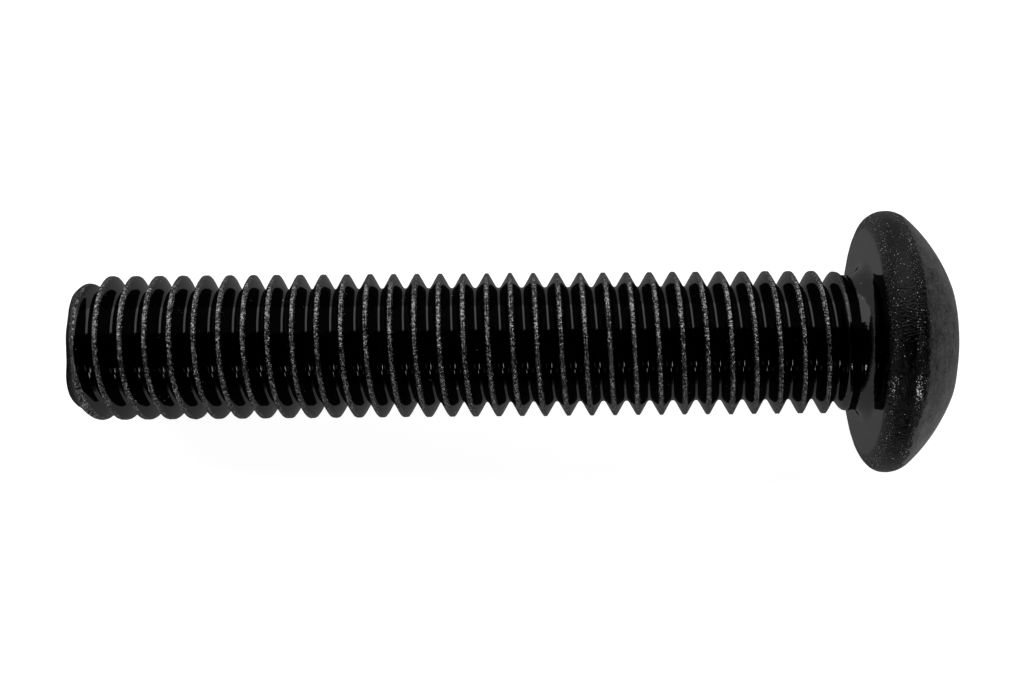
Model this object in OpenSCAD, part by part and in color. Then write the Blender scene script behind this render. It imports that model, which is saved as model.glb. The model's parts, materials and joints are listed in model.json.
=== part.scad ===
// Machine screw with a low domed head, a hexagon socket and a rolled right-hand thread.
// It is drawn upright on its own axis, with the bearing face at height 0, and then laid down
// as it comes to rest, on the rim of the head and the first whole crest at the tip.

/* [Thread] */
// Distance from one crest to the next, M5 coarse
pitch = 0.8; // [0.5:0.05:1.1]
// Diameter over the crests
crest_d = 4.92; // [4.6:0.02:5.6]
// Depth of the groove, as a share of the pitch
depth_share = 0.65; // [0.5:0.01:0.68]
// Width of the flat on a crest, as a share of the pitch
crest_share = 0.125; // [0.08:0.005:0.15]
// Angle of each flank from a square cut
flank_angle = 30; // [25:1:30]
// Turns over which the crest sinks to the neck
crest_runout = 1; // [0.3:0.05:1.2]
// Turns over which the groove rises to the neck
groove_runout = 0.75; // [0.5:0.05:2]
// Turns over which the thread forms from the end
thread_start = 0.6; // [0.3:0.05:0.8]

/* [Shank] */
// Length from the bearing face to the end
length = 26.68; // [12:0.02:40]
// Diameter of the neck, where the thread runs out into the blank
neck_d = 4.74; // [4.4:0.02:4.86]
// Length of the neck from the bearing face to where the last crest ends
neck_length = 0.6; // [0.6:0.02:2]
// Radius of the fillet between the neck and the head
fillet_r = 0.5; // [0.3:0.05:0.6]
// Radius of the rounding between the end face and the crests
end_round = 0.45; // [0.2:0.05:0.6]
// Diameter of the blank where the thread begins to form, at the end
end_d = 4.2; // [4.1:0.05:4.5]
// Distance from the end to the first whole crest, on the underside
first_crest = 0.68; // [0.65:0.01:1.2]

/* [Head] */
// Diameter of the head
head_d = 9.02; // [8.2:0.02:10.5]
// Height of the head above the bearing face
head_h = 2.68; // [2.3:0.02:3.3]
// Radius of the rounding between the bearing face and the rim
rim_r = 0.65; // [0.3:0.05:0.8]
// Height of the straight band round the rim
rim_band = 0.06; // [0.02:0.02:0.3]
// Radius of the shoulder between the rim and the dome
shoulder_r = 0.8; // [0.5:0.05:0.95]
// Angle through which the shoulder turns in
shoulder_turn = 40; // [30:0.5:50]
// Diameter of the flat crown
crown_d = 4.8; // [4.2:0.05:5.4]

/* [Socket] */
// Width across the flats of the socket
socket_af = 3; // [2:0.5:3.5]
// Depth of the socket's flats below the crown
socket_depth = 1.6; // [1.2:0.05:1.8]
// Width of the bevel round the socket's mouth
mouth_bevel = 0.12; // [0.05:0.01:0.25]

/* [Hidden] */
steel = [0.07, 0.07, 0.075];
round_steps = 96;
arc_steps = 12;
end_steps = 6;
turn_steps = 36;
overlap = 0.01;
inner_cone = 0.3;

head_r = head_d / 2;
crown_r = crown_d / 2;
neck_r = neck_d / 2;
crest_r = crest_d / 2;
root_r = crest_r - depth_share * pitch;

// The head's outline: centres of the rim and the shoulder, where the dome begins, and its centre
rim_centre = head_r - rim_r;
shoulder_centre = [head_r - shoulder_r, rim_r + rim_band];
dome_start = shoulder_centre + shoulder_r * [cos(shoulder_turn), sin(shoulder_turn)];
dome_centre = (dome_start * dome_start - crown_r * crown_r - head_h * head_h)
    / (2 * (dome_start[1] - head_h));
dome_r = norm(dome_start - [0, dome_centre]);

// The socket
socket_r = socket_af / 2 / cos(30);
mouth_r = socket_r + mouth_bevel;
drill_angle = 30;

// One pitch of the thread, as heights from the middle of a crest: crest flat, then root flat
crest_half = crest_share * pitch / 2;
root_half = pitch / 2 - crest_half - depth_share * pitch * tan(flank_angle);
heights = [-crest_half, crest_half, pitch / 2 - root_half, pitch / 2 + root_half];

// The spiral starts whole turns below the end and stops inside the head, so that both cuts are clean
turns_below = ceil((first_crest + crest_half) / pitch) + 1;
spiral_low = -length + first_crest - turns_below * pitch;
spiral_high = -fillet_r / 2;
last_step = ceil(turn_steps * ((spiral_high - spiral_low - heights[3]) / pitch + 1));
blank_r = neck_r + overlap;

// How it lies: the rim's lowest circle and the first whole crest both touch the ground
rim_to_crest = rim_r + length - first_crest + crest_half;
drop = rim_centre - crest_r;
lean = asin(rim_r / norm([rim_to_crest, drop])) + atan2(drop, rim_to_crest);
face_height = rim_centre * cos(lean) + rim_r * (1 - sin(lean));
reach_high = head_h * cos(lean) + crown_r * sin(lean);
reach_low = length * cos(lean) + (crest_r - end_round) * sin(lean);

function arc(centre, r, from, to, steps = arc_steps) =
    [for (i = [0 : steps]) let (a = from + (to - from) * i / steps)
        centre + r * [cos(a), sin(a)]];

// How fully the thread is formed this far from where it begins or ends, from 0 to 1
function formed(distance, turns) = max(0, min(1, distance / (turns * pitch)));

// The radius goes from the blank's at the end to the full form, and to the neck's near the head
function thread_radius(corner, z) =
    let (full_r = corner < 2 ? crest_r : root_r,
         start = formed(z + length, thread_start),
         runout = formed(-neck_length - z, corner < 2 ? crest_runout : groove_runout))
    start < 1
        ? end_d / 2 + (full_r - end_d / 2) * start
        : blank_r + (full_r - blank_r) * runout;

function thread_point(step, corner) =
    let (a = 360 * step / turn_steps,
         z = spiral_low + pitch * step / turn_steps + heights[corner],
         r = thread_radius(corner, z))
    [r * cos(a), r * sin(a), z];

function point_index(step, corner) = 4 * step + corner;

// The corner above this one: the next in its pitch, or the first of the turn above
function next_index(step, corner) = corner < 3
    ? point_index(step, corner + 1)
    : point_index(step + turn_steps, 0);

// One helicoid from below the end to inside the head, closed by a fan at each end
module thread() {
    points = [for (step = [0 : last_step], corner = [0 : 3]) thread_point(step, corner)];
    low_centre = len(points);
    high_centre = low_centre + 1;
    first_top = last_step - turn_steps;
    walls = [for (step = [0 : last_step - 1], corner = [0 : 3])
        if (corner < 3 || step < first_top)
            let (a = point_index(step, corner), b = point_index(step + 1, corner),
                 c = next_index(step + 1, corner), d = next_index(step, corner))
            each [[a, d, b], [b, d, c]]];
    low_rim = concat([for (step = [0 : turn_steps]) point_index(step, 0)],
                     [for (corner = [3 : -1 : 1]) point_index(0, corner)]);
    high_rim = concat([for (step = [first_top : last_step]) point_index(step, 3)],
                      [for (corner = [2 : -1 : 0]) point_index(last_step, corner)]);
    low_fan = [for (i = [0 : len(low_rim) - 1])
        [low_rim[i], low_rim[(i + 1) % len(low_rim)], low_centre]];
    high_fan = [for (i = [0 : len(high_rim) - 1])
        [high_rim[(i + 1) % len(high_rim)], high_rim[i], high_centre]];
    polyhedron(
        concat(points, [[0, 0, spiral_low], [0, 0, points[point_index(first_top, 3)][2]]]),
        concat(walls, low_fan, high_fan));
}

// Everything that the rounded end leaves: its outline turns past the crests and then opens wide
module shank_limit() {
    wide = crest_r + end_round;
    translate([0, 0, -length])
        rotate_extrude($fn = round_steps)
            polygon(concat(
                [[0, 0]],
                arc([crest_r + 2 * overlap - end_round, end_round], end_round, -90, -15, end_steps),
                [[wide, 2 * end_round], [wide, length], [0, length]]));
}

// The head with its fillet, as one turned outline that starts as a cone inside the neck
module head() {
    rotate_extrude($fn = round_steps)
        polygon(concat(
            [[0, -fillet_r - inner_cone], [neck_r - inner_cone, -fillet_r - inner_cone]],
            arc([neck_r + fillet_r, -fillet_r], fillet_r, 180, 90),
            arc([rim_centre, rim_r], rim_r, -90, 0),
            arc(shoulder_centre, shoulder_r, 0, shoulder_turn),
            arc([0, dome_centre], dome_r, atan2(dome_start[1] - dome_centre, dome_start[0]),
                atan2(head_h - dome_centre, crown_r)),
            [[0, head_h]]));
}

// Hexagon with a drilled bottom and a bevelled mouth
module socket() {
    drill_depth = socket_af / 2 * tan(drill_angle);
    translate([0, 0, head_h - socket_depth]) {
        cylinder(h = socket_depth + 1, r = socket_r, $fn = 6);
        translate([0, 0, -drill_depth])
            cylinder(h = drill_depth, r1 = 0, r2 = socket_af / 2, $fn = round_steps);
    }
    translate([0, 0, head_h - mouth_bevel])
        cylinder(h = 2 * mouth_bevel, r1 = mouth_r - mouth_bevel, r2 = mouth_r + mouth_bevel,
            $fn = round_steps);
}

// From upright on the axis to lying on the ground, with the middle of its length at the origin
module lay_down() {
    translate([(reach_low - reach_high) / 2, 0, face_height])
        rotate([0, 90 - lean, 0])
            children();
}

module machine_screw() {
    color(steel) lay_down() difference() {
        union() {
            head();
            intersection() {
                thread();
                shank_limit();
            }
        }
        socket();
    }
}

machine_screw();
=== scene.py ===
# %% [markdown]
# # A black machine screw
#
# The object is one piece of steel: a round bar with a domed head forged on it, a hexagon
# socket pressed into the head, and a thread rolled along the rest. It was then given a thin,
# glossy black finish, which is worn on the sharpest parts.
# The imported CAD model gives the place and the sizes. It could simply be given a material, but
# its thread has few faces and no trace of wear, so this lesson makes a finer screw on the same
# axis, and that one is shown instead.

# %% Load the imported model
import json
from math import atan2, ceil, cos, hypot, pi, radians, sin, tan

import bmesh
import bpy
from mathutils import Matrix, Vector, noise


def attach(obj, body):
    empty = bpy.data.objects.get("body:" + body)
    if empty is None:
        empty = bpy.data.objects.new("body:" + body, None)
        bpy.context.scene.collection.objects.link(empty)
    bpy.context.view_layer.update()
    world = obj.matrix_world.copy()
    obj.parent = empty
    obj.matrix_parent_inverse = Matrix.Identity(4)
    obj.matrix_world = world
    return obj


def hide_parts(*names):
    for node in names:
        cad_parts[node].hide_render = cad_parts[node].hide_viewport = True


MM = 0.001
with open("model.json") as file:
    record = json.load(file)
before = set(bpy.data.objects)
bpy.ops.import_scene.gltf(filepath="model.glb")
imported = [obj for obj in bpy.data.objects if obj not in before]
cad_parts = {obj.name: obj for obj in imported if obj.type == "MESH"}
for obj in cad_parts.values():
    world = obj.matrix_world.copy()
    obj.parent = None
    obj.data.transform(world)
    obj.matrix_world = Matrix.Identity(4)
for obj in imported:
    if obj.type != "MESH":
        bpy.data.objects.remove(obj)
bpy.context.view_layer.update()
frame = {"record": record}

# %% [markdown]
# ## Sizes
#
# A screw is made from few numbers. They are in metres, because Blender works in metres, and
# most are the CAD model's. This mesh is fine enough for more: its crests are a little wider,
# its roots are rounded, and its thread fades out smoothly and ends a little nearer to the
# head. Heights are measured along the screw's own axis: 0 is the bearing face under the head,
# the head is above it and the shank below.

# %% Sizes of the thread
pitch = 0.8 * MM
crest_r = 2.46 * MM
thread_depth = 0.65 * pitch
root_r = crest_r - thread_depth
crest_half = 0.075 * pitch
flank_angle = radians(30)
flank_run = thread_depth * tan(flank_angle)
root_half = pitch / 2 - crest_half - flank_run
root_rounding = 0.1 * MM
root_lift = root_rounding / sin(flank_angle) - root_rounding - root_half / tan(flank_angle)
print("diameter in mm over the crests:", round(2 * crest_r / MM, 2), "and at the root:",
      round(2 * root_r / MM, 2))

# %% Sizes of the shank
length = 26.68 * MM
neck_r = 2.37 * MM
neck_length = 0.5 * MM
fillet_r = 0.5 * MM
crest_runout = 1.0 * pitch
groove_runout = 0.95 * pitch
end_round = 0.45 * MM
end_blank_r = 2.1 * MM
end_face_r = crest_r - end_round
thread_start = 0.6 * pitch
first_crest = 0.68 * MM
print("length under the head in mm:", round(length / MM, 2))

# %% Sizes of the head and the socket
head_r = 4.51 * MM
head_h = 2.68 * MM
rim_r = 0.65 * MM
rim_band = 0.06 * MM
shoulder_r = 0.8 * MM
shoulder_turn = radians(40)
crown_r = 2.4 * MM
socket_flat = 1.5 * MM
socket_depth = 1.6 * MM
mouth_bevel = 0.12 * MM
rim_centre = head_r - rim_r
shoulder_centre = (head_r - shoulder_r, rim_r + rim_band)
dome_start = (shoulder_centre[0] + shoulder_r * cos(shoulder_turn),
              shoulder_centre[1] + shoulder_r * sin(shoulder_turn))
print("head in mm:", round(2 * head_r / MM, 2), "by", round(head_h / MM, 2))

# %% [markdown]
# ## Where the screw lies
#
# A screw can't stand on its tip, so it lies on the rim of its head and on the first whole
# crest near the tip, and its axis rises a little toward the head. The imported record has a
# mount in the middle of the crown whose axis is the screw's, so the place is read from there.
# The screw is made upright, and one matrix lays it down at the very end.

# %% From the screw's own axis to the ground
crown_mount = next(m for m in frame["record"]["mounts"] if m["name"] == "hex_socket")
axis = Vector(crown_mount["axis"]).normalized()
face_centre = Vector(crown_mount["pos_m"]) - head_h * axis
tip_over = atan2(axis.x, axis.z)
lay_down = Matrix.Translation(face_centre) @ Matrix.Rotation(tip_over, 4, "Y")
print("the axis rises by", round(90 - tip_over * 180 / pi, 2), "degrees")

# %% [markdown]
# ## Sums as nodes
#
# The thread and the finish both follow formulas, and a formula in nodes is a long chain of
# Math nodes. It could be wired by hand, but it would be hard to read. This small class makes
# one Math node for each sign, so a formula in the script looks like a formula.

# %% A number in a node tree
class Term:
    """One number of a node tree, which can be used in sums."""

    def __init__(self, tree, socket):
        self.tree = tree
        self.socket = socket

    def maths(self, operation, *others):
        node = self.tree.nodes.new("ShaderNodeMath")
        node.operation = operation
        for slot, value in zip(node.inputs, (self, *others)):
            put(self.tree, slot, value)
        return Term(self.tree, node.outputs[0])

    def __add__(self, other):
        return self.maths("ADD", other)

    def __sub__(self, other):
        return self.maths("SUBTRACT", other)

    def __mul__(self, other):
        return self.maths("MULTIPLY", other)

    def __truediv__(self, other):
        return self.maths("DIVIDE", other)

    def __neg__(self):
        return self.maths("MULTIPLY", -1)

    def __radd__(self, other):
        return self + other

    def __rsub__(self, other):
        return -self + other

    def least(self, other):
        return self.maths("MINIMUM", other)

    def most(self, other):
        return self.maths("MAXIMUM", other)

    def share(self):
        return self.most(0).least(1)


def put(tree, slot, value):
    """Gives an input of a node a number, or links a Term to it."""
    if isinstance(value, Term):
        tree.links.new(value.socket, slot)
    else:
        slot.default_value = value

# %% Noise, steps and places in a node tree
def noise_at(tree, place, scale, detail=2.0, roughness=0.5):
    """Noise around 0, from about -0.5 to 0.5."""
    node = tree.nodes.new("ShaderNodeTexNoise")
    tree.links.new(place, node.inputs["Vector"])
    node.inputs["Scale"].default_value = scale
    node.inputs["Detail"].default_value = detail
    node.inputs["Roughness"].default_value = roughness
    return Term(tree, node.outputs[0]) - 0.5


def step(value, low, high):
    """0 below low, 1 above high, and smooth between."""
    node = value.tree.nodes.new("ShaderNodeMapRange")
    node.interpolation_type = "SMOOTHSTEP"
    put(value.tree, node.inputs["Value"], value)
    put(value.tree, node.inputs["From Min"], low)
    put(value.tree, node.inputs["From Max"], high)
    return Term(value.tree, node.outputs["Result"])


def place_of(tree, x, y, z):
    node = tree.nodes.new("ShaderNodeCombineXYZ")
    for slot, value in zip(node.inputs, (x, y, z)):
        put(tree, slot, value)
    return node.outputs[0]


def parts_of(tree, vector):
    node = tree.nodes.new("ShaderNodeSeparateXYZ")
    tree.links.new(vector, node.inputs[0])
    return [Term(tree, socket) for socket in node.outputs]

# %% [markdown]
# ## The thread
#
# A rolled thread is one groove that winds round the bar more than thirty times. Modelling it
# turn by turn, or with a Screw modifier, gives crests that are all alike and that stop dead at
# both ends. Here Geometry Nodes bend a flat grid round the axis instead. Its rows climb by
# one pitch in each turn, so the last column meets the first one a whole pitch further up, and
# the rows run along the crests and the grooves. The radius of every point is a formula of its
# height and its turn. So the thread can form out of the blank at the end, and fade into the
# neck in the last turn under the head, and noise can make it as uneven as the real one. The
# same grid goes on through the fillet, so that nothing has to be fitted to a fading thread.
# Inside the tree, heights are measured from the end of the shank.

# %% How fine the grid is
columns = 144
rows_per_pitch = 16
# The end's rounding stops this far from the side, and the rows below it close the end face
# so many times faster than they climb
end_angle = radians(15)
end_spread = 3.0
end_arc = end_round * (pi / 2 - end_angle)
end_top = end_round * (1 - sin(end_angle))
lowest_needed = end_top - end_arc - end_face_r / end_spread
turns_below = ceil((first_crest - lowest_needed) / pitch) + 1
grid_low = first_crest - turns_below * pitch
neck_top = length - fillet_r
fillet_arc = fillet_r * pi / 2
grid_rows = ceil((neck_top + fillet_arc - grid_low) / pitch * rows_per_pitch) + 1
print("grid:", columns, "columns and", grid_rows, "rows")

# %% The tree's named inputs
thread_sizes = {
    "Pitch": pitch,
    "Crest radius": crest_r,
    "Root radius": root_r,
    "Half crest": crest_half,
    "Flank run": flank_run,
    "Root rounding": root_rounding,
    "Length": length,
    "Neck radius": neck_r,
    "Neck length": neck_length,
    "Neck top": neck_top,
    "Crest runout": crest_runout,
    "Groove runout": groove_runout,
    "Groove left": 0.15,
    "Fillet radius": fillet_r,
    "End blank radius": end_blank_r,
    "End face radius": end_face_r,
    "End rounding": end_round,
    "First crest": first_crest,
    "Thread start": thread_start,
    "Grid low": grid_low,
    "End lip": 0.1 * MM,
    "Crest swelling": 0.01 * MM,
    "Crest wander": 0.02 * MM,
    "Crest roughness": 0.03 * MM,
    "Crest lumps": 0.16 * MM,
}
tree = bpy.data.node_groups.new("rolled thread", "GeometryNodeTree")
tree.interface.new_socket("Geometry", in_out="OUTPUT", socket_type="NodeSocketGeometry")
identifiers = {}
for name in thread_sizes:
    item = tree.interface.new_socket(name, in_out="INPUT", socket_type="NodeSocketFloat")
    identifiers[name] = item.identifier
for name, count in (("Columns", columns), ("Rows", grid_rows)):
    item = tree.interface.new_socket(name, in_out="INPUT", socket_type="NodeSocketInt")
    identifiers[name] = item.identifier
    thread_sizes[name] = count
item = tree.interface.new_socket("Finish", in_out="INPUT", socket_type="NodeSocketMaterial")
identifiers["Finish"] = item.identifier
group_in = tree.nodes.new("NodeGroupInput")
size = {name: Term(tree, group_in.outputs[name]) for name in thread_sizes}
print("named inputs:", len(identifiers))

# %% Where each point of the grid goes: its turn and its height above the end
grid = tree.nodes.new("GeometryNodeMeshGrid")
put(tree, grid.inputs["Size X"], 1.0)
put(tree, grid.inputs["Size Y"], size["Rows"] - 1)
put(tree, grid.inputs["Vertices X"], size["Columns"] + 1)
put(tree, grid.inputs["Vertices Y"], size["Rows"])
position = tree.nodes.new("GeometryNodeInputPosition")
across, along, _ = parts_of(tree, position.outputs[0])
turn = across + 0.5
row = along + (size["Rows"] - 1) / 2
climb = (row / rows_per_pitch + turn) * size["Pitch"] + size["Grid low"]

rounding = ((end_top - climb) / end_arc).share()
slope = rounding * (end_angle - pi / 2) - end_angle
end_reach = size["End face radius"] + size["End rounding"] * slope.maths("COSINE")
end_rise = size["End rounding"] * (slope.maths("SINE") + 1)
fillet_turn = ((climb - size["Neck top"]) / fillet_arc).share() * (pi / 2)
height = ((climb - end_top).most(0) + end_rise).least(size["Neck top"]) \
    + size["Fillet radius"] * fillet_turn.maths("SINE")
inward = ((end_top - end_arc - climb) * end_spread).most(0)
print("nodes so far:", len(tree.nodes))

# %% The form of the groove
def hump(value, middle, reach):
    """1 in the middle, and smoothly down to 0 on both sides."""
    return 1 - step((value - middle).maths("ABSOLUTE"), 0.0, reach)


wander_waves = 2200
angle = turn * (2 * pi)
around = place_of(tree, angle.maths("COSINE") * crest_r, angle.maths("SINE") * crest_r, height)
phase = (height - size["First crest"]) / size["Pitch"] - turn
from_crest = phase.maths("PINGPONG", 0.5) * size["Pitch"]
straight_flank = ((from_crest - size["Half crest"]) / size["Flank run"]).share()
from_root = (size["Pitch"] / 2 - from_crest).least(size["Root rounding"] * cos(flank_angle))
bend_share = from_root / size["Root rounding"]
above_root = size["Root rounding"] * (1 - (1 - bend_share * bend_share).maths("SQRT")) \
    + root_lift
straight_flank = straight_flank.least(1 - above_root / (size["Crest radius"] - size["Root radius"]))
wander = noise_at(tree, around, wander_waves, 3) * size["Crest wander"] / size["Flank run"]
halfway_down = (1 - straight_flank) * straight_flank * 4
groove = (straight_flank + wander * halfway_down).share()
print("nodes so far:", len(tree.nodes))

# %% How the thread forms and fades
not_started = 1 - (height / size["Thread start"]).share()
to_neck = size["Length"] - size["Neck length"] - height
crest_gone = 1 - step(to_neck, 0.0, size["Crest runout"])
groove_kept = step(to_neck, 0.0, size["Groove runout"]).most(size["Groove left"])
groove_gone = 1 - groove_kept * fillet_turn.maths("COSINE")
crest_now = (size["Crest radius"]
             - (size["Crest radius"] - size["End blank radius"]) * not_started
             - (size["Crest radius"] - size["Neck radius"]) * crest_gone)
root_now = (size["Root radius"]
            - (size["Root radius"] - size["End blank radius"]) * not_started
            - (size["Root radius"] - size["Neck radius"]) * groove_gone)
print("nodes so far:", len(tree.nodes))

# %% How far each point is from the axis
pit_waves = 5200
lump_waves = 2200
lump_threshold = 0.13
on_crest = (1 - groove).share() * (1 - crest_gone)
pits = noise_at(tree, around, pit_waves, 3) * size["Crest roughness"]
lumps = (noise_at(tree, around, lump_waves, 2) - lump_threshold).most(0) * size["Crest lumps"] \
    + size["Crest swelling"]
radius = crest_now + (root_now - crest_now) * groove + (pits + lumps) * on_crest
radius = (radius.least(end_reach + (climb - end_top).most(0)) - inward).most(0) \
    + size["Fillet radius"] * (1 - fillet_turn.maths("COSINE"))

# %% An uneven lip round the end
# Where each hump is on the turn, how far it reaches, and how much of the lip it takes
lip_humps = [(0.64, 0.15, 1.4), (0.33, 0.12, 1.1), (0.53, 0.07, -0.4)]
lip_fade = 0.5 * MM
lip = sum(hump(turn, middle, reach) * rise for middle, reach, rise in lip_humps) \
    * size["End lip"] * (radius / size["End face radius"]).share() \
    * (1 - step(climb, end_top, end_top + lip_fade))
print("humps on the lip:", len(lip_humps))

# %% The grid becomes the shank
weld_gap = 0.0005 * MM
bend = tree.nodes.new("GeometryNodeSetPosition")
tree.links.new(grid.outputs["Mesh"], bend.inputs["Geometry"])
tree.links.new(place_of(tree, angle.maths("COSINE") * radius, angle.maths("SINE") * radius,
                        height - lip - size["Length"]), bend.inputs["Position"])
weld = tree.nodes.new("GeometryNodeMergeByDistance")
weld.inputs["Distance"].default_value = weld_gap
realize = tree.nodes.new("GeometryNodeRealizeInstances")
finish = tree.nodes.new("GeometryNodeSetMaterial")
group_out = tree.nodes.new("NodeGroupOutput")
for earlier, later in ((bend, weld), (weld, realize), (realize, finish), (finish, group_out)):
    tree.links.new(earlier.outputs[0], later.inputs[0])
tree.links.new(group_in.outputs["Finish"], finish.inputs["Material"])
print("nodes in the tree:", len(tree.nodes))

# %% Run the tree and keep its plain mesh
steel = bpy.data.materials.new("black_steel")
blank = bpy.data.objects.new("shank_blank", bpy.data.meshes.new("shank_blank"))
bpy.context.scene.collection.objects.link(blank)
modifier = blank.modifiers.new("rolled thread", "NODES")
modifier.node_group = tree
for name, value in thread_sizes.items():
    modifier[identifiers[name]] = value
modifier[identifiers["Finish"]] = steel
bpy.context.view_layer.update()
evaluated = blank.evaluated_get(bpy.context.evaluated_depsgraph_get())
shank_mesh = bpy.data.meshes.new_from_object(evaluated)
blank.modifiers.remove(modifier)
bpy.data.objects.remove(blank)
print("shank:", len(shank_mesh.vertices), "points,", len(shank_mesh.polygons), "faces")

# %% [markdown]
# ## The head
#
# The head was forged between two dies, so it is round, apart from the socket. Turning an
# outline with Spin would do for the dome, and a Boolean would cut the hexagon, but a cut
# leaves long thin faces that shade badly. Instead the head is a stack of rings with as many
# points as the thread has columns. Each ring has a height and a radius, and in the socket
# the radius follows the hexagon. The first ring lies where the fillet ends on the bearing
# face. The shank's grid ends there too, so the two weld into one closed skin.

# %% Rings of the head, from the bearing face to the socket's mouth
def arc_rings(centre, radius, start, end, steps):
    """Rings (radius, height) along an arc whose angles are in degrees, without the first."""
    turns = [radians(start + (end - start) * i / steps) for i in range(1, steps + 1)]
    return [(centre[0] + radius * cos(a), centre[1] + radius * sin(a)) for a in turns]


def line_rings(start, end, steps):
    """Rings along a straight line, without the first."""
    return [tuple(a + (b - a) * i / steps for a, b in zip(start, end))
            for i in range(1, steps + 1)]


dome_centre = (dome_start[0] ** 2 + dome_start[1] ** 2 - crown_r ** 2 - head_h ** 2) \
    / (2 * (dome_start[1] - head_h))
dome_r = hypot(dome_start[0], dome_start[1] - dome_centre)
dome_from = atan2(dome_start[1] - dome_centre, dome_start[0]) * 180 / pi
dome_to = atan2(head_h - dome_centre, crown_r) * 180 / pi
socket_corner = socket_flat / cos(radians(30))
mouth_r = socket_corner + mouth_bevel

fillet_end = (neck_r + fillet_r, 0)
mouth_edge = (mouth_r, head_h)
head_rings = [fillet_end]
head_rings += line_rings(fillet_end, (rim_centre, 0), steps=8)
head_rings += arc_rings((rim_centre, rim_r), rim_r, -90, 0, steps=16)
head_rings += line_rings((head_r, rim_r), (head_r, shoulder_centre[1]), steps=1)
head_rings += arc_rings(shoulder_centre, shoulder_r, 0, shoulder_turn * 180 / pi, steps=10)
head_rings += arc_rings((0, dome_centre), dome_r, dome_from, dome_to, steps=22)
head_rings += line_rings((crown_r, head_h), mouth_edge, steps=4)
head_rings += line_rings(mouth_edge, (socket_corner, head_h - mouth_bevel), steps=3)
print("rings round the head:", len(head_rings))

# %% Rings of the socket
def hexagon_r(angle):
    """Distance from the axis to the hexagon's side, with its first corner at angle 0."""
    return socket_flat / cos((angle % (pi / 3)) - pi / 6)


wall_shares = (0, 0.02, 0.5, 0.9)
drill_angle = radians(30)
drill_point_r = socket_flat * 0.02
socket_floor = head_h - socket_depth
drill_bottom = socket_floor - socket_flat * tan(drill_angle)
hexagon_heights = [head_h - mouth_bevel - socket_depth * share for share in wall_shares]
hexagon_heights.append(socket_floor)
drill_rings = line_rings((socket_flat, socket_floor), (drill_point_r, drill_bottom), steps=6)
angles = [2 * pi * i / columns for i in range(columns)]
rings = [[(r, h) for _ in angles] for r, h in head_rings]
rings += [[(hexagon_r(a), h) for a in angles] for h in hexagon_heights]
rings += [[(r, h) for _ in angles] for r, h in [(socket_flat, socket_floor)] + drill_rings]
print("rings with the socket's:", len(rings))

# %% The rings become a skin
head = bmesh.new()
loops = [[head.verts.new((r * cos(a), r * sin(a), h)) for a, (r, h) in zip(angles, ring)]
         for ring in rings]
for lower, upper in zip(loops, loops[1:]):
    for i in range(columns):
        j = (i + 1) % columns
        head.faces.new((lower[i], lower[j], upper[j], upper[i]))
head.faces.new(loops[-1])
print("head:", len(head.verts), "points,", len(head.faces), "faces")

# %% [markdown]
# A forged head is never quite true. The rim is a little rough where the die's two halves
# met, and the dome is faintly wavy and leans a little. A texture could fake this, but it
# shows in the outline, so the points themselves are moved, by hundredths of a millimetre. The
# bearing face and the socket stay true.

# %% Unevenness of the head
def lift(place, scale, depth):
    """How far a point of the head stands proud, from smooth noise."""
    return depth * noise.noise(place * scale)


dome_lean = 0.006
rim_waves = 2600
head_waves = 900
wave_depth = 0.014 * MM
swelling = 0.008 * MM
rim_tilt = 0.6
dome_tilt = 1.5
true_r = mouth_r * 1.02
true_h = 0.02 * MM
for vertex in head.verts:
    r = hypot(vertex.co.x, vertex.co.y)
    h = vertex.co.z
    if r < true_r or h < true_h:
        continue
    on_rim = r > rim_centre and h < dome_start[1]
    tilt = rim_tilt if on_rim else dome_tilt
    outward = Vector((vertex.co.x, vertex.co.y, (h - rim_r) * tilt)).normalized()
    if on_rim:
        vertex.co += outward * lift(vertex.co, rim_waves, wave_depth)
    vertex.co += outward * (lift(vertex.co, head_waves, wave_depth) + swelling)
    vertex.co.z += dome_lean * vertex.co.y * min(h / dome_start[1], 1)
print("the head's highest point in mm:", round(max(v.co.z for v in head.verts) / MM, 3))

# %% Weld the head to the shank
seam_gap = 0.001 * MM
shortest_edge = 0.0002 * MM
whole = bmesh.new()
whole.from_mesh(shank_mesh)
head_mesh = bpy.data.meshes.new("head")
head.to_mesh(head_mesh)
whole.from_mesh(head_mesh)
bmesh.ops.remove_doubles(whole, verts=whole.verts, dist=seam_gap)
bmesh.ops.dissolve_degenerate(whole, edges=whole.edges, dist=shortest_edge)
bmesh.ops.recalc_face_normals(whole, faces=whole.faces)
open_edges = [e for e in whole.edges if len(e.link_faces) != 2]
print("edges that don't join two faces:", len(open_edges), "volume in mm3:",
      round(whole.calc_volume() / MM ** 3, 1))

# %% The finished screw, laid down
screw_mesh = bpy.data.meshes.new("screw")
whole.to_mesh(screw_mesh)
screw_mesh.transform(lay_down)
screw_mesh.materials.clear()
screw_mesh.materials.append(steel)
screw_mesh.shade_smooth()
screw_mesh.set_sharp_from_angle(angle=radians(50))
screw = bpy.data.objects.new("dressed_screw", screw_mesh)
bpy.context.scene.collection.objects.link(screw)
head.free()
whole.free()
for spare in (shank_mesh, head_mesh):
    bpy.data.meshes.remove(spare)
print("screw:", sum(len(f.vertices) - 2 for f in screw_mesh.polygons), "triangles")

# %% [markdown]
# ## The finish
#
# All of the screw has the same black finish, but it looks different from place to place. On
# the flanks, the neck and the bearing face it is as smooth as glass, apart from a few
# pinholes. The crests were torn and rubbed, so they are grey and pitted, with dark seams where
# the rolled metal closed over itself. The rim is rough and full of bright specks, most of them
# in a rubbed patch, the end's edge is a little duller, the dome is satin, and specks of dust
# lie everywhere. Several materials would meet in hard lines along the mesh, so one material
# is used. It works out where on the screw each point is, in millimetres along and round the
# screw's own axis, and blends the looks there, with edges as ragged as noise makes them.

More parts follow.
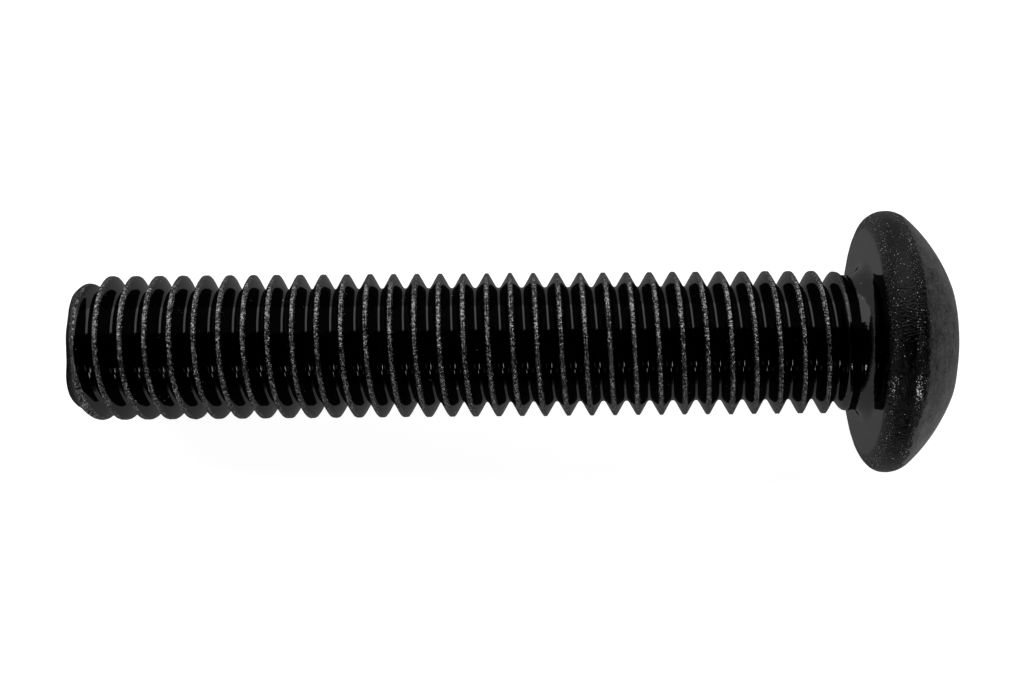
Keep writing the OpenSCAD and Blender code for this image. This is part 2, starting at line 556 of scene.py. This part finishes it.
# %% Place on the screw, in millimetres
steel.use_nodes = True
paint = steel.node_tree
paint.nodes.clear()
surface = paint.nodes.new("ShaderNodeBsdfAnisotropic")
output = paint.nodes.new("ShaderNodeOutputMaterial")
paint.links.new(surface.outputs[0], output.inputs["Surface"])
coordinates = paint.nodes.new("ShaderNodeTexCoord")
stand_up = paint.nodes.new("ShaderNodeMapping")
paint.links.new(coordinates.outputs["Object"], stand_up.inputs["Vector"])
stand_up.inputs["Scale"].default_value = (1 / MM, 1 / MM, 1 / MM)
stand_up.inputs["Rotation"].default_value = (0, -tip_over, 0)
stand_up.inputs["Location"].default_value = lay_down.inverted().translation / MM
on_screw = stand_up.outputs[0]
side_x, side_y, up = parts_of(paint, on_screw)
from_axis = (side_x * side_x + side_y * side_y).maths("SQRT")
bottom = -length / MM
print("the finish runs from", round(bottom, 2), "to", round(head_h / MM, 2), "mm")

# %% Noise of eight sizes
patchy = noise_at(paint, on_screw, 1.6)
coarse = noise_at(paint, on_screw, 2.2, detail=3, roughness=0.6)
holes = noise_at(paint, on_screw, 5, detail=1)
ragged = noise_at(paint, on_screw, 7, detail=3, roughness=0.6)
spots = noise_at(paint, on_screw, 10, detail=1)
flecks = noise_at(paint, on_screw, 11)
grain = noise_at(paint, on_screw, 16, detail=1)
speckle = noise_at(paint, on_screw, 24, detail=1)


def weighted(*pairs):
    """The sum of some terms, each times its own weight."""
    return sum(term * weight for term, weight in pairs)


# %% Where the crests are worn
crest_half_width = 0.09
crest_raggedness = 0.08
inner_blur = 0.012
outer_blur = 0.008
wear_top = -0.88
wear_fade = 0.1
seam_half_width = 0.045
less_worn_from = wear_top - 1.1
less_worn_to = wear_top - 0.3
worn_less_by = 0.5
thread_phase = (up + (length - first_crest) / MM) / (pitch / MM) \
    - side_y.maths("ARCTAN2", side_x) / (2 * pi)
crest_distance = thread_phase.maths("PINGPONG", 0.5) * (pitch / MM)
crest_edge = ragged * crest_raggedness + crest_half_width
whole_crest = (1 - step(crest_distance, crest_edge - inner_blur, crest_edge + outer_blur)) \
    * (1 - step(up, wear_top - wear_fade, wear_top)) \
    * step(up, bottom + wear_fade, bottom + 2 * wear_fade)
seam = (1 - step(crest_distance, 0.0, seam_half_width)) * step(patchy, 0.02, 0.12) * whole_crest
crest = whole_crest * (1 - step(up, less_worn_from, less_worn_to) * worn_less_by)
print("the worn crests end at", wear_top, "mm along the axis")

# %% Where the rim and the dome are
rim_start = rim_centre / MM + 0.03
rim_top = dome_start[1] / MM
edge_raggedness = 0.1
edge_blur = 0.03
dome_drop = 0.04
lower_dip = 0.24
upper_dip = 0.12
dome_edge = weighted((coarse, 0.5), (patchy, 0.25), (ragged, 0.25)) + rim_top - dome_drop \
    - step(-side_y, 1.6, 3.0) * lower_dip - step(side_y, 1.5, 3.5) * upper_dip
dome = step(up, dome_edge - edge_blur, dome_edge + edge_blur) * step(up, 0.02, 0.05)
rim_edge = rim_start + ragged * edge_raggedness
rim = step(from_axis, rim_edge - edge_blur, rim_edge) * (1 - dome) * step(up, -0.01, 0.01)
print("the rim is rough up to about", round(rim_top - dome_drop, 2), "mm")

# %% Where the rim is worn and rubbed
low_wear = hump(up + ragged * 0.2, middle=0.14, reach=0.2)
high_wear = hump(up + coarse * 0.3, middle=0.9, reach=0.24)
rim_wear = low_wear + high_wear
rubbed_side = hump(side_y + coarse * 0.5, middle=-1.55, reach=0.75)
rubbed = weighted((low_wear, 0.4), (high_wear, 1)) * rubbed_side

# %% The neck, the end's edge, dust and pinholes
neck_blur = 0.2
face_blur = 0.02
end_band = 0.25
end_blur = 0.07
neck = step(up, wear_top, wear_top + neck_blur) * (1 - step(up, -face_blur, 0.0))
end_limit = ragged * edge_raggedness + (bottom + end_band)
end_edge = 1 - step(up, end_limit, end_limit + end_blur)
dust = step(spots, 0.28, 0.31)
pinholes = step(holes, 0.25, 0.29) * (1 - dome) * (1 - crest)

# %% Roughness
coat_roughness = 0.07
roughness = coat_roughness + weighted(
    (dome, 0.34), (rim, 0.13), (rim * rim_wear, 0.1), (crest, 0.15), (neck, 0.03),
    (end_edge, 0.15), (dust, 0.4))
put(paint, surface.inputs["Roughness"], roughness)
print("roughness of the plain coat:", coat_roughness)

# %% Relief
relief_depth = 0.03 * MM
relief = crest * weighted((grain, 1.8), (ragged, 0.8), (seam, -0.5)) \
    + rim * (rim_wear * (speckle + grain) + weighted((grain, 1), (ragged, 0.8))) \
    + dome * weighted((coarse, 1.2), (ragged, 0.5), (flecks, 0.3)) \
    + neck * weighted((coarse, 0.6)) + end_edge * (grain + ragged)
bump = paint.nodes.new("ShaderNodeBump")
put(paint, bump.inputs["Height"], relief)
bump.inputs["Distance"].default_value = relief_depth
bump.inputs["Strength"].default_value = 1.0
paint.links.new(bump.outputs[0], surface.inputs["Normal"])
print("relief in mm for a height of 1:", round(relief_depth / MM, 2))

# %% How much of the surface is seen at a glancing angle
glance = paint.nodes.new("ShaderNodeLayerWeight")
glance.inputs["Blend"].default_value = 0.5
paint.links.new(bump.outputs[0], glance.inputs["Normal"])
facing = Term(paint, glance.outputs["Facing"])

# %% Greys of the coat, the crests, the rim and the dome, with a painted sheen on the dome's lower side
coat_grey = 0.02
glancing_grey = 0.075
torn_grey = 0.02
rubbed_grey = 0.15
seam_darkening = 0.8
speck_grey = 0.38
rubbed_speck_grey = 0.3
pinhole_darkening = 0.5
rim_darkening = 0.012
end_darkening = 0.01
dome_grey = 0.014
painted_lower_sheen_grey = 0.03
dust_grey = 0.25
glancing = facing * facing * facing * facing * glancing_grey
coat = (coat_grey + glancing) * (1 - pinholes * pinhole_darkening)
crest_grey = (step(flecks, -0.12, 0.14) * rubbed_grey + torn_grey) * (1 - seam * seam_darkening)
crest_change = (crest_grey - coat_grey) * (1 - step(facing, 0.3, 0.6))
specks = step(weighted((speckle, 1), (rim_wear, 0.05), (rubbed, 0.18)), 0.22, 0.29)
rim_change = specks * (rubbed * rubbed_speck_grey + speck_grey) - rim_darkening
# Painted light: the dome's grey rises toward the bottom of the picture, a painted sheen that stands
# in for brighter light falling on that side
painted_lower_sheen = step(-side_y, 0.0, 4.0) * painted_lower_sheen_grey
dome_change = weighted((coarse, 0.07), (flecks, 0.06)) + dome_grey + painted_lower_sheen
grey = coat + dome * dome_change + rim * rim_change + crest * crest_change \
    + weighted((end_edge, -end_darkening), (dust, dust_grey))
colour = paint.nodes.new("ShaderNodeCombineColor")
for slot in colour.inputs:
    put(paint, slot, grey)
paint.links.new(colour.outputs[0], surface.inputs["Color"])
print("nodes in the finish:", len(paint.nodes))

# %% [markdown]
# ## The floor
#
# The screw lies on plain white. A white floor under soft light comes out pale grey, and more
# light would spoil the black steel. So most of the floor's white is a glow that only the
# camera and the mirror-like steel see, and what it lacks comes from the lamps on a grey floor,
# so that the screw's soft shadow stays.

# %% Floor
floor_size = 1.6
floor_grey = 0.45
floor_glow = 0.87
corner = floor_size / 2
floor_mesh = bpy.data.meshes.new("floor")
floor_corners = [(-corner, -corner, 0), (corner, -corner, 0), (corner, corner, 0),
                 (-corner, corner, 0)]
floor_mesh.from_pydata(floor_corners, [], [(0, 1, 2, 3)])
floor = bpy.data.objects.new("floor", floor_mesh)
bpy.context.scene.collection.objects.link(floor)
print("floor:", floor_size, "m wide")

# %% Paper
paper = bpy.data.materials.new("white_floor")
paper.use_nodes = True
floor_mesh.materials.append(paper)
floor_tree = paper.node_tree
floor_tree.nodes.clear()
matt = floor_tree.nodes.new("ShaderNodeBsdfDiffuse")
matt.inputs["Color"].default_value = (floor_grey, floor_grey, floor_grey, 1.0)
glow = floor_tree.nodes.new("ShaderNodeEmission")
rays = floor_tree.nodes.new("ShaderNodeLightPath")
seen = Term(floor_tree, rays.outputs["Is Camera Ray"]) \
    .most(Term(floor_tree, rays.outputs["Is Glossy Ray"])) \
    .most(Term(floor_tree, rays.outputs["Is Transmission Ray"]))
put(floor_tree, glow.inputs["Strength"], seen * floor_glow)
both = floor_tree.nodes.new("ShaderNodeAddShader")
floor_tree.links.new(matt.outputs[0], both.inputs[0])
floor_tree.links.new(glow.outputs[0], both.inputs[1])
floor_out = floor_tree.nodes.new("ShaderNodeOutputMaterial")
floor_tree.links.new(both.outputs[0], floor_out.inputs["Surface"])
print("floor's glow:", floor_glow)

# %% [markdown]
# ## Light
#
# Glossy black steel is lit by what it mirrors. The camera looks almost straight down, and
# nothing bright is beside it, so whatever faces the camera stays black. One large soft box
# beyond the top of the picture, moved to the left, gives the grey bands along the top, in the
# roots and under the head. The floor gives those along the bottom, and two small lamps beyond
# the bottom of the picture, one to each side, give the short sparkles in each root. The sky is
# dim overhead and paler near the horizon, so that the screw also reads from the side.

# %% Lamps
lamp_distance = 0.3


def lamp(name, azimuth, off_zenith, width, depth, radiance, sideways=0.0):
    """A soft rectangle that faces the screw. Azimuth 0 is to the right in the picture and 90
    is up. Radiance 1 is white to whatever mirrors it."""
    light = bpy.data.lights.new(name, "AREA")
    light.shape = "RECTANGLE"
    light.size = width
    light.size_y = depth
    light.energy = radiance * pi * width * depth
    thing = bpy.data.objects.new(name, light)
    bpy.context.scene.collection.objects.link(thing)
    thing.visible_camera = False
    turn_r = sin(radians(off_zenith))
    direction = Vector((cos(radians(azimuth)) * turn_r, sin(radians(azimuth)) * turn_r,
                        cos(radians(off_zenith))))
    thing.matrix_world = Matrix.Translation(direction * lamp_distance) \
        @ direction.to_track_quat("Z", "Y").to_matrix().to_4x4() \
        @ Matrix.Translation((sideways, 0, 0))
    print(name, "gives", round(light.energy, 3), "W")


lamp("soft_box", 90, 59.6, width=0.9, depth=0.324, radiance=2.9, sideways=0.14)
lamp("upper_sparkle", 239, 50, width=0.06, depth=0.035, radiance=26.0)
lamp("lower_sparkle", 307, 59.7, width=0.06, depth=0.03, radiance=26.0)

# %% Sky
horizon_light = 0.3
zenith_light = 0.01
horizon_height = 0.3
sky = bpy.data.worlds.new("studio")
bpy.context.scene.world = sky
sky.use_nodes = True
sky_tree = sky.node_tree
background = sky_tree.nodes["Background"]
look = sky_tree.nodes.new("ShaderNodeTexCoord")
_, _, rise = parts_of(sky_tree, look.outputs["Generated"])
sky_light = (1 - step(rise, 0.0, horizon_height)) * horizon_light + zenith_light
put(sky_tree, background.inputs["Strength"], sky_light)
background.inputs["Color"].default_value = (1.0, 1.0, 1.0, 1.0)
print("sky overhead:", zenith_light, "and more at the horizon:", horizon_light)

# %% [markdown]
# ## Camera
#
# The picture was taken from close by, square to the screw, and then cropped off its middle.
# The thread itself shows where the camera was: its crests are a ruler with equal steps. A
# camera turned toward the crop's middle would bend them, so this one looks where the real
# one looked, and a small shift frames the crop.

# %% Camera
camera_distance = 45.42 * MM
camera_along = -9.75 * MM
camera_across = 0.082 * MM
camera_yaw = radians(0.934)
camera_roll = radians(0.484)
picture_width = 1024
focal_px = 1313.0
centre_px = 602.8
sensor = 36.0
nearest_seen = 1.0 * MM

along = axis
across = Vector((0, 1, 0))
above = along.cross(across)
right = along * cos(camera_yaw) + above * sin(camera_yaw)
back = above * cos(camera_yaw) - along * sin(camera_yaw)
right, upward = (right * cos(camera_roll) - across * sin(camera_roll),
                 right * sin(camera_roll) + across * cos(camera_roll))
eye = face_centre + along * camera_along + across * camera_across + above * camera_distance
view = bpy.data.cameras.new("camera")
view.sensor_width = sensor
view.lens = focal_px / picture_width * sensor
view.shift_x = -(centre_px - picture_width / 2) / picture_width
view.clip_start = nearest_seen
camera = bpy.data.objects.new("camera", view)
bpy.context.scene.collection.objects.link(camera)
facing_down = Matrix((right, upward, back)).transposed().to_4x4()
camera.matrix_world = Matrix.Translation(eye) @ facing_down
bpy.context.scene.camera = camera
bpy.context.scene.view_settings.view_transform = "Standard"
print("camera at", [round(v / MM, 2) for v in eye], "mm, lens", round(view.lens, 2))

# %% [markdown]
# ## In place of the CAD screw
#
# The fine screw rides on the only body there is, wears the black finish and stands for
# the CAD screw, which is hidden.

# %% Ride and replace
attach(screw, "root")
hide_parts("machine_screw")
